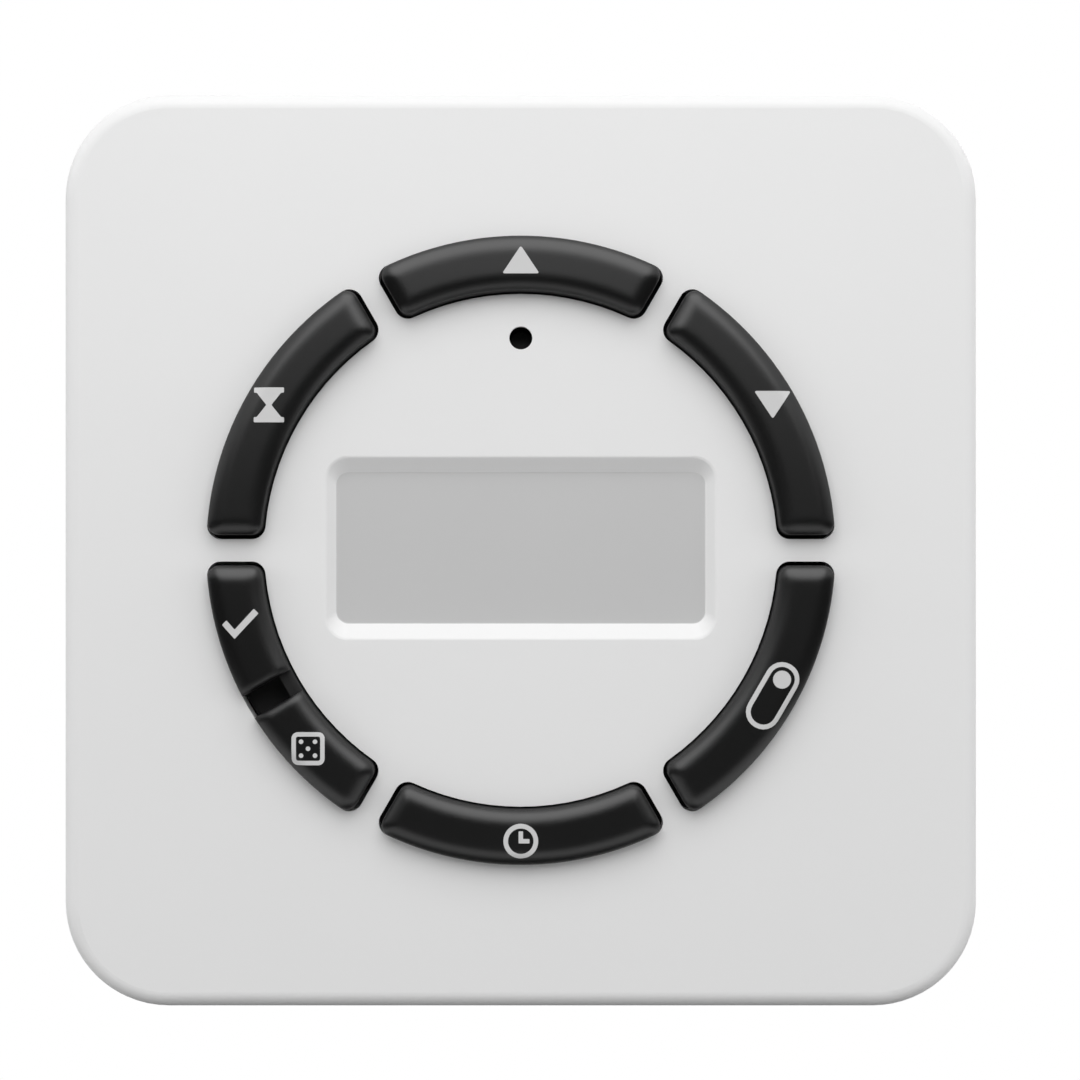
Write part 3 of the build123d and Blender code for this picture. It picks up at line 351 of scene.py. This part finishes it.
def key_plastic(name, colour):
    """Charcoal plastic with soft creases on the key tops, and dull walls behind their brim."""
    material = plastic(name, colour, roughness=0.31, mottle=0.25, spread=0.05, pitch=5200.0, relief_mm=0.002,
                       gloss=0.6)
    tree = material.node_tree
    on_top = math_node(tree, "LESS_THAN", split(tree, object_place(tree))["Y"], KEY_BRIM)
    tree.links.new(crease_normal(tree, on_top), tree.nodes["relief"].inputs["Normal"])
    roughness = tree.nodes["Principled BSDF"].inputs["Roughness"]
    top = roughness.links[0].from_socket
    wall = math_node(tree, "MULTIPLY_ADD", on_top, -KEY_WALL_ROUGHNESS, KEY_WALL_ROUGHNESS)
    tree.links.new(math_node(tree, "MAXIMUM", top, wall), roughness)
    return material


def tracks(tree, place):
    """1 on a copper track and 0 beside it, for tracks side by side along one coordinate."""
    turns = math_node(tree, "FRACT", math_node(tree, "DIVIDE", place, TRACK_PITCH))
    return math_node(tree, "LESS_THAN", turns, TRACK_SHARE)


def circuit_board(name, colour):
    """Lacquer over patches of upright and of level copper tracks."""
    material = plastic(name, colour, roughness=0.32, mottle=0.10, spread=0.06, pitch=6000.0, relief_mm=0.001)
    tree = material.node_tree
    coordinates = object_place(tree)
    parts = split(tree, coordinates)
    block = tree.nodes.new("ShaderNodeVectorMath")
    block.operation = "SNAP"
    block.inputs[1].default_value = TRACK_BLOCK
    tree.links.new(coordinates, block.inputs[0])
    chance = tree.nodes.new("ShaderNodeTexWhiteNoise")
    tree.links.new(block.outputs["Vector"], chance.inputs["Vector"])
    upright = math_node(tree, "GREATER_THAN", chance.outputs["Value"], TRACK_UPRIGHT_ABOVE)
    level = math_node(tree, "LESS_THAN", chance.outputs["Value"], TRACK_LEVEL_BELOW)
    copper = math_node(tree, "MAXIMUM",
                       math_node(tree, "MULTIPLY", upright, tracks(tree, parts["X"])),
                       math_node(tree, "MULTIPLY", level, tracks(tree, parts["Z"])))
    tone = math_node(tree, "MULTIPLY_ADD", copper, TRACK_TONE, 1.0)
    lacquer = tree.nodes["Principled BSDF"].inputs["Base Color"]
    base = lacquer.links[0].from_socket
    tree.links.new(shaded(tree, base, tone), lacquer)
    return material


# The finish of each material slot
FINISHES = {
    "cover_white": plastic("white_cover_plastic", (0.80, 0.80, 0.80), roughness=0.50, mottle=0.02,
                           spread=0.06, pitch=5200.0, relief_mm=0.003),
    "key_charcoal": key_plastic("charcoal_key_plastic", (0.002, 0.002, 0.0021)),
    "window_satin": satin_pane("satin_window", (0.60, 0.60, 0.60)),
    "lcd_grey": plastic("blank_display_grey", (0.62, 0.62, 0.62), roughness=0.35, mottle=0.02, spread=0.04,
                        pitch=7000.0, relief_mm=0.0005),
    "holder_grey": plastic("holder_plastic", (0.55, 0.55, 0.54), roughness=0.5),
    "mat_rubber": plastic("key_mat_rubber", (0.42, 0.43, 0.44), roughness=0.75),
    "carbon_rubber": plastic("carbon_rubber", (0.03, 0.03, 0.03), roughness=0.8),
    "board_green": circuit_board("board_lacquer", (0.02, 0.15, 0.06)),
    "chip_black": plastic("black_moulding", (0.022, 0.022, 0.022), roughness=0.5, mottle=0.2),
    "can_metal": metal("drawn_can", (0.72, 0.72, 0.73), roughness=0.3),
    "frame_zinc": metal("zinc_plated_sheet", (0.66, 0.67, 0.68), roughness=0.34),
    "screw_steel": metal("zinc_plated_screw", (0.68, 0.68, 0.69), roughness=0.28),
    "contact_brass": metal("contact_brass", (0.76, 0.60, 0.30), roughness=0.3),
    "back_white": plastic("white_back_plastic", (0.74, 0.74, 0.73), roughness=0.55),
    "housing_grey": plastic("dark_housing_plastic", (0.085, 0.085, 0.09), roughness=0.48, mottle=0.12,
                            spread=0.1, pitch=2600.0, relief_mm=0.012),
    "terminal_grey": plastic("terminal_plastic", (0.36, 0.37, 0.38), roughness=0.5, mottle=0.06),
    "relay_blue": plastic("relay_cover", (0.04, 0.11, 0.34), roughness=0.3, mottle=0.05, spread=0.05),
    "film_yellow": plastic("capacitor_case", (0.72, 0.52, 0.08), roughness=0.3, mottle=0.05, spread=0.05),
    "varistor_blue": plastic("coated_disc", (0.06, 0.18, 0.42), roughness=0.35, mottle=0.1, spread=0.08,
                             pitch=1800.0, relief_mm=0.01),
    "fuse_brown": plastic("fuse_case", (0.14, 0.06, 0.035), roughness=0.4),
}

LEGEND_INK = plastic("legend_ink", (0.60, 0.60, 0.60), roughness=0.6, mottle=0.06, spread=0.1, pitch=6000.0,
                     relief_mm=0.003)
CLEAR_GLUE = plastic("clear_glue", (0.64, 0.64, 0.64), roughness=0.4, mottle=0.03, spread=0.06, pitch=6000.0,
                     relief_mm=0.001)


def dress_nodes():
    """Gives each CAD node the finish of its material slot."""
    for entry in frame["record"]["subparts"]:
        finish = FINISHES[entry["material_slot"]]
        for slot in frame["nodes"][entry["node"]].material_slots:
            slot.material = finish


# Flat drawings, in millimetres

def rectangle(across, up):
    """The corners of a rectangle about the origin, from half its width and half its height."""
    return [(-across, -up), (across, -up), (across, up), (-across, up)]


def outline(mesh, points, corner):
    """A flat face with rounded corners."""
    face = mesh.faces.new([mesh.verts.new((x, y, 0)) for x, y in points])
    bmesh.ops.bevel(mesh, geom=list(face.verts), offset=corner, affect="VERTICES", segments=CORNER_STEPS,
                    profile=0.5, material=-1)


def dot(mesh, middle, radius):
    """A flat disc."""
    place = Matrix.Translation((*middle, 0))
    bmesh.ops.create_circle(mesh, cap_ends=True, segments=DOT_STEPS, radius=radius, matrix=place)


def loop_stroke(mesh, points, stroke, corner):
    """A closed stroke along a flat outline, with rounded corners."""
    others = set(mesh.faces)
    outline(mesh, points, corner)
    whole = [face for face in mesh.faces if face not in others]
    bmesh.ops.inset_region(mesh, faces=whole, thickness=stroke, use_even_offset=True, use_boundary=True)
    bmesh.ops.delete(mesh, geom=whole, context="FACES_ONLY")


def ring(mesh, radius, stroke):
    """A round stroke."""
    start = [mesh.verts.new((radius, 0, 0)), mesh.verts.new((radius - stroke, 0, 0))]
    edge = mesh.edges.new(start)
    bmesh.ops.spin(mesh, geom=[*start, edge], cent=(0, 0, 0), axis=(0, 0, 1), angle=tau, steps=RING_STEPS,
                   use_merge=True)


def facing_front(middle, turn=0):
    """Puts a flat drawing in millimetres upright in front of the unit, about a middle point."""
    return (Matrix.Translation(middle) @ Matrix.Rotation(pi / 2, 4, "X")
            @ Matrix.Rotation(turn, 4, "Z") @ Matrix.Scale(MM, 4))


def thicken(mesh, depth_mm):
    """Gives an upright drawing a thickness, towards the front."""
    raised = bmesh.ops.extrude_face_region(mesh, geom=list(mesh.faces))
    lifted = [part for part in raised["geom"] if isinstance(part, bmesh.types.BMVert)]
    bmesh.ops.translate(mesh, verts=lifted, vec=(0, -depth_mm * MM, 0))
    bmesh.ops.recalc_face_normals(mesh, faces=list(mesh.faces))


def finished(name, mesh, material):
    """A named object with one material, from a mesh that is complete."""
    data = bpy.data.meshes.new(name)
    mesh.to_mesh(data)
    mesh.free()
    data.materials.append(material)
    piece = bpy.data.objects.new(name, data)
    bpy.context.scene.collection.objects.link(piece)
    return piece


# Key legends

def up_mark(mesh):
    across, up = TRIANGLE_HALF_MM
    outline(mesh, [(-across, -up), (across, -up), (0, up)], TRIANGLE_CORNER_MM)


def down_mark(mesh):
    across, up = TRIANGLE_HALF_MM
    outline(mesh, [(0, -up), (across, up), (-across, up)], TRIANGLE_CORNER_MM)


def hourglass_mark(mesh):
    """Two bulbs that meet in a neck, between two end plates."""
    top, plate, wide, lip, neck, corner = LEGEND_HALF_MM, 0.45, 1.3, 0.25, 0.22, 0.08
    shoulder = top - plate
    bulb = wide - lip
    right = [(wide, top), (wide, shoulder), (bulb, shoulder), (neck, 0), (bulb, -shoulder),
             (wide, -shoulder), (wide, -top)]
    left = [(-x, y) for x, y in reversed(right)]
    outline(mesh, list(reversed(right + left)), corner)


def clock_mark(mesh):
    """A round face with two hands."""
    hour, minute, half, corner = 0.75, 0.85, 0.192, 0.06
    ring(mesh, LEGEND_HALF_MM, LEGEND_STROKE_MM)
    outline(mesh, [(-half, -half), (hour, -half), (hour, half),
                   (half, half), (half, minute), (-half, minute)], corner)


def toggle_mark(mesh):
    """A slide switch: a long rounded outline with a knob at one end."""
    end, corner, knob = 3.1, 0.98 * LEGEND_HALF_MM, 0.52 * LEGEND_HALF_MM
    loop_stroke(mesh, rectangle(end, LEGEND_HALF_MM), LEGEND_STROKE_MM, corner)
    dot(mesh, (end - LEGEND_HALF_MM, 0), knob)


def tick_mark(mesh):
    """A short stroke down and a long one up."""
    corner = 0.08
    outline(mesh, [(-1.55, 0.05), (-0.45, -1.15), (1.6, 1.05),
                   (1.2, 1.45), (-0.45, -0.35), (-1.15, 0.45)], corner)


def die_mark(mesh):
    """A die that shows five."""
    side, stroke, corner, radius = 0.95 * LEGEND_HALF_MM, 0.384, 0.55, 0.2
    loop_stroke(mesh, rectangle(side, side), stroke, corner)
    pip = 0.42 * side
    for middle in ((0, 0), (pip, pip), (pip, -pip), (-pip, pip), (-pip, -pip)):
        dot(mesh, middle, radius)


# Each legend: its mark, its key and that key's body, its angle, and whether it follows the ring
LEGENDS = {
    "up": (up_mark, "up_key", "key_up", 90, False),
    "down": (down_mark, "down_key", "key_down", 30, False),
    "countdown": (hourglass_mark, "countdown_key", "key_countdown", 150, False),
    "set": (tick_mark, "set_random_key", "rocker", 195, False),
    "random": (die_mark, "set_random_key", "rocker", 223, False),
    "time": (clock_mark, "time_key", "key_time", 270, False),
    "manual": (toggle_mark, "manual_key", "key_manual", 330, True),
}


def ring_point(angle, radius_mm=KEY_RING_MM):
    """A point on the ring of keys, or on one round the same middle."""
    return Vector((cos(radians(angle)), 0, sin(radians(angle)))) * radius_mm * MM


def settle(mesh, key):
    """Lays a flat mark on the surface of its key, seen from the front."""
    bmesh.ops.triangulate(mesh, faces=list(mesh.faces))
    for _ in range(LEGEND_SPLITS):
        long_edges = [edge for edge in mesh.edges if edge.calc_length() > LEGEND_STEP_MM * MM]
        if not long_edges:
            break
        bmesh.ops.subdivide_edges(mesh, edges=long_edges, cuts=1)
        bmesh.ops.triangulate(mesh, faces=[face for face in mesh.faces if len(face.verts) > 3])
    body = frame["nodes"][key]
    points = [body.matrix_world @ vertex.co for vertex in body.data.vertices]
    surface = BVHTree.FromPolygons(points, [list(face.vertices) for face in body.data.polygons])
    for vertex in mesh.verts:
        hit = surface.ray_cast(Vector((vertex.co.x, -1, vertex.co.z)), Vector((0, 1, 0)))[0]
        vertex.co.y = hit.y


def legend(name, draw, key, body, angle, follows):
    """A printed mark on a key top: a film of ink with the outline that draw makes."""
    mesh = bmesh.new()
    draw(mesh)
    turn = radians(angle + 90) if follows else 0
    place = ring_point(angle, KEY_RING_MM + LEGEND_OUTWARD_MM)
    bmesh.ops.transform(mesh, matrix=facing_front(place, turn), verts=list(mesh.verts))
    settle(mesh, key)
    thicken(mesh, INK_THICKNESS_MM)
    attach(finished(f"{name}_legend", mesh, LEGEND_INK), body)


# Display window

def window_glue():
    """A thin bead that closes the joint between the display window and its opening."""
    low, high = (Vector(corner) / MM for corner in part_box("display_window"))
    middle = (low + high) / 2
    middle.y = low.y + GLUE_DEPTH_MM - GLUE_PROUD_MM
    across = (high.x - low.x) / 2 - PANE_BORDER_MM + GLUE_OVERLAP_MM
    up = (high.z - low.z) / 2 - PANE_BORDER_MM + GLUE_OVERLAP_MM
    mesh = bmesh.new()
    loop_stroke(mesh, rectangle(across, up), GLUE_WIDTH_MM, GLUE_CORNER_MM)
    bmesh.ops.transform(mesh, matrix=facing_front(middle * MM), verts=list(mesh.verts))
    thicken(mesh, GLUE_DEPTH_MM)
    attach(finished("window_glue", mesh, CLEAR_GLUE), "wall_unit")


# Key mat

# Each dome of the mat: the body of the key that presses it, and its angle on the ring
DOMES = {
    "up": ("key_up", 90),
    "down": ("key_down", 30),
    "countdown": ("key_countdown", 150),
    "set": ("rocker", 191.17),
    "random": ("rocker", 228.83),
    "time": ("key_time", 270),
    "manual": ("key_manual", 330),
}


def merged_copy(node):
    """A copy of a CAD node's mesh, with the points along its edges joined."""
    mesh = bmesh.new()
    mesh.from_mesh(frame["nodes"][node].data)
    bmesh.ops.remove_doubles(mesh, verts=list(mesh.verts), dist=JOIN_DISTANCE)
    return mesh


def around(mesh, middle, radius_mm):
    """The faces within a radius of a point, seen from the front."""
    return [face for face in mesh.faces
            if all((vertex.co - middle).xz.length < radius_mm * MM for vertex in face.verts)]


def dome_faces(mesh, middle, sheet_levels):
    """The faces of one dome, without those of the sheet that it stands in."""
    def flat_at(face, level):
        return all(abs(vertex.co.y - level) < LEVEL_TOLERANCE for vertex in face.verts)
    return [face for face in around(mesh, middle, DOME_RADIUS_MM)
            if not any(flat_at(face, level) for level in sheet_levels)]


def drop_faces(mesh, faces):
    """Takes faces out, and joins the two round edges that this leaves open."""
    bmesh.ops.delete(mesh, geom=faces, context="FACES")
    open_edges = [edge for edge in mesh.edges if edge.is_boundary]
    if open_edges:
        bmesh.ops.bridge_loops(mesh, edges=open_edges)
    bmesh.ops.recalc_face_normals(mesh, faces=list(mesh.faces))


def keep_faces(mesh, faces):
    """Takes all other faces out."""
    kept = set(faces)
    drop_faces(mesh, [face for face in mesh.faces if face not in kept])


def moulded(name, mesh, slot, node):
    """A piece in the finish of a material slot, in place of a CAD node."""
    for face in mesh.faces:
        face.smooth = True
    piece = finished(name, mesh, FINISHES[slot])
    piece.data.set_sharp_from_angle(angle=radians(SHARP_DEG))
    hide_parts(node)
    return piece


def key_mat():
    """The rubber mat as a sheet and single domes, with each dome's contact pill on the body of its key."""
    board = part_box("dome_mat")[1].y
    front = board - MAT_THICKNESS_MM * MM
    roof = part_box("contact_pills")[0].y
    sheet = merged_copy("dome_mat")
    for name, (body, angle) in DOMES.items():
        middle = ring_point(angle)
        drop_faces(sheet, dome_faces(sheet, middle, (board, front)))
        dome = merged_copy("dome_mat")
        keep_faces(dome, dome_faces(dome, middle, (board, front)))
        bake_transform(moulded(f"{name}_dome", dome, "mat_rubber", "dome_mat"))
        pill = merged_copy("contact_pills")
        keep_faces(pill, around(pill, middle, DOME_RADIUS_MM))
        lower = [vertex for vertex in pill.verts if vertex.co.y > (roof + front) / 2]
        bmesh.ops.translate(pill, verts=lower, vec=(0, -PILL_SPARE_MM * MM, 0))
        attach(moulded(f"{name}_pill", pill, "carbon_rubber", "contact_pills"), body)
    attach(moulded("mat_sheet", sheet, "mat_rubber", "dome_mat"), "wall_unit")


# Studio

def direct_rays(tree):
    """1 for rays that show the background: from the camera, a reflection or through glass."""
    path = tree.nodes.new("ShaderNodeLightPath")
    mirrored = math_node(tree, "MAXIMUM", path.outputs["Is Camera Ray"], path.outputs["Is Glossy Ray"])
    return math_node(tree, "MAXIMUM", mirrored, path.outputs["Is Transmission Ray"])


def matt(tree, level):
    """A matt paint of one grey level."""
    node = tree.nodes.new("ShaderNodeBsdfDiffuse")
    node.inputs["Color"].default_value = (level, level, level, 1)
    return node.outputs[0]


def glow(tree, strength):
    """An even white light."""
    node = tree.nodes.new("ShaderNodeEmission")
    node.inputs["Color"].default_value = WHITE
    node.inputs["Strength"].default_value = strength
    return node.outputs[0]


def floor_fade(tree):
    """0 near the object, and 1 away from it."""
    distance = tree.nodes.new("ShaderNodeVectorMath")
    distance.operation = "LENGTH"
    tree.links.new(object_place(tree), distance.inputs[0])
    fade = tree.nodes.new("ShaderNodeMapRange")
    fade.interpolation_type = "SMOOTHSTEP"
    fade.inputs["From Min"].default_value = FLOOR_FADE[0]
    fade.inputs["From Max"].default_value = FLOOR_FADE[1]
    tree.links.new(distance.outputs["Value"], fade.inputs["Value"])
    return fade.outputs[0]


def floor_material():
    """A pale floor that keeps the shadow, and goes over to plain white away from the object.

    It throws less light on the object than it seems to, and from below it is clear.
    """
    material, tree, shader = blank_material("pale_floor")
    tree.nodes.remove(shader)
    lit = tree.nodes.new("ShaderNodeAddShader")
    tree.links.new(matt(tree, FLOOR_PAINT), lit.inputs[0])
    tree.links.new(glow(tree, FLOOR_LIFT), lit.inputs[1])
    seen = mixed(tree, floor_fade(tree), lit.outputs[0], glow(tree, 1.0))
    upper = mixed(tree, direct_rays(tree), matt(tree, FLOOR_SHADE), seen)
    from_below = tree.nodes.new("ShaderNodeNewGeometry").outputs["Backfacing"]
    surface = mixed(tree, from_below, upper, see_through(tree))
    tree.links.new(surface, tree.nodes["Material Output"].inputs["Surface"])
    return material


def floor():
    mesh = bmesh.new()
    bmesh.ops.create_circle(mesh, cap_ends=True, segments=FLOOR_STEPS, radius=FLOOR_RADIUS)
    bmesh.ops.translate(mesh, verts=list(mesh.verts), vec=(0, 0, FLOOR_LEVEL))
    finished("floor", mesh, floor_material())


def outside_surround(place):
    """Whether a point of the sphere is behind the object, above the rim or in the gap low down."""
    too_high = place.z > SURROUND_TOP - SURROUND_DIP * abs(place.x)
    in_gap = place.z < 0 and SURROUND_GAP[0] < place.xy.length < SURROUND_GAP[1]
    return place.y > SURROUND_BACK or too_high or in_gap


def surround():
    """A dark half bowl round the camera, seen only in reflections.

    It is open above, with a rim that dips to the sides. Its low part lies flat over the floor,
    and has a gap in the shape of a ring.
    """
    mesh = bmesh.new()
    bmesh.ops.create_uvsphere(mesh, u_segments=SURROUND_STEPS[0], v_segments=SURROUND_STEPS[1],
                              radius=SURROUND_RADIUS)
    outside = [vertex for vertex in mesh.verts if outside_surround(vertex.co)]
    bmesh.ops.delete(mesh, geom=outside, context="VERTS")
    for vertex in mesh.verts:
        vertex.co.z = max(vertex.co.z, FLOOR_LEVEL + SURROUND_ABOVE_FLOOR)
    bmesh.ops.reverse_faces(mesh, faces=list(mesh.faces))
    cloth = plastic("dark_cloth", (0.01, 0.01, 0.01), roughness=0.9, mottle=0.2, spread=0.1, pitch=300.0,
                    relief_mm=0.1)
    piece = finished("dark_surround", mesh, cloth)
    for kind in ("camera", "diffuse", "transmission", "shadow", "volume_scatter"):
        setattr(piece, f"visible_{kind}", False)


def sky():
    """White behind the object, and a softer even light on it."""
    world = bpy.data.worlds.new("white_studio")
    world.use_nodes = True
    tree = world.node_tree
    light = tree.nodes["Background"]
    light.inputs["Color"].default_value = WHITE
    light.inputs["Strength"].default_value = SKY_LEVEL
    white = tree.nodes.new("ShaderNodeBackground")
    white.inputs["Color"].default_value = WHITE
    surface = mixed(tree, direct_rays(tree), light.outputs[0], white.outputs[0])
    tree.links.new(surface, tree.nodes["World Output"].inputs["Surface"])
    bpy.context.scene.world = world


def lamp(name, place, size, power, mirrored=True):
    """A square softbox that looks at the object, and shows in reflections if mirrored."""
    data = bpy.data.lights.new(name, "AREA")
    data.shape = "SQUARE"
    data.size = size
    data.energy = power
    piece = bpy.data.objects.new(name, data)
    piece.location = place
    piece.rotation_euler = (-Vector(place)).to_track_quat("-Z", "Y").to_euler()
    piece.visible_glossy = mirrored
    bpy.context.scene.collection.objects.link(piece)


def camera():
    """Level with the middle of the cover and square to it, framed as in the photo."""
    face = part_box("front_cover")[0].y
    half_cover = (cad_box[1].x - cad_box[0].x) / 2
    data = bpy.data.cameras.new("camera")
    data.sensor_width = SENSOR_MM
    focal_px = COVER_PX / 2 * (CAMERA_TO_FACE + FRONT_EDGE_DEPTH) / half_cover
    data.lens = focal_px / PICTURE_PX * SENSOR_MM
    data.shift_x = 0.5 - COVER_MIDDLE_PX[0] / PICTURE_PX
    data.shift_y = COVER_MIDDLE_PX[1] / PICTURE_PX - 0.5
    data.clip_start = CAMERA_NEAREST
    piece = bpy.data.objects.new("camera", data)
    piece.location = (0, face - CAMERA_TO_FACE, 0)
    piece.rotation_euler = (pi / 2, 0, 0)
    bpy.context.scene.collection.objects.link(piece)
    bpy.context.scene.camera = piece


dress_nodes()
for legend_name, choices in LEGENDS.items():
    legend(legend_name, *choices)
window_glue()
key_mat()
floor()
surround()
sky()
lamp("top_softbox", LAMP_PLACE, LAMP_SIZE, LAMP_POWER)
lamp("right_fill", SIDE_PLACE, SIDE_SIZE, SIDE_POWER, mirrored=False)
lamp("left_fill", (-SIDE_PLACE[0], *SIDE_PLACE[1:]), SIDE_SIZE, SIDE_POWER, mirrored=False)
lamp("back_softbox", BACK_PLACE, BACK_SIZE, BACK_POWER)
camera()
bpy.context.scene.view_settings.view_transform = "Standard"
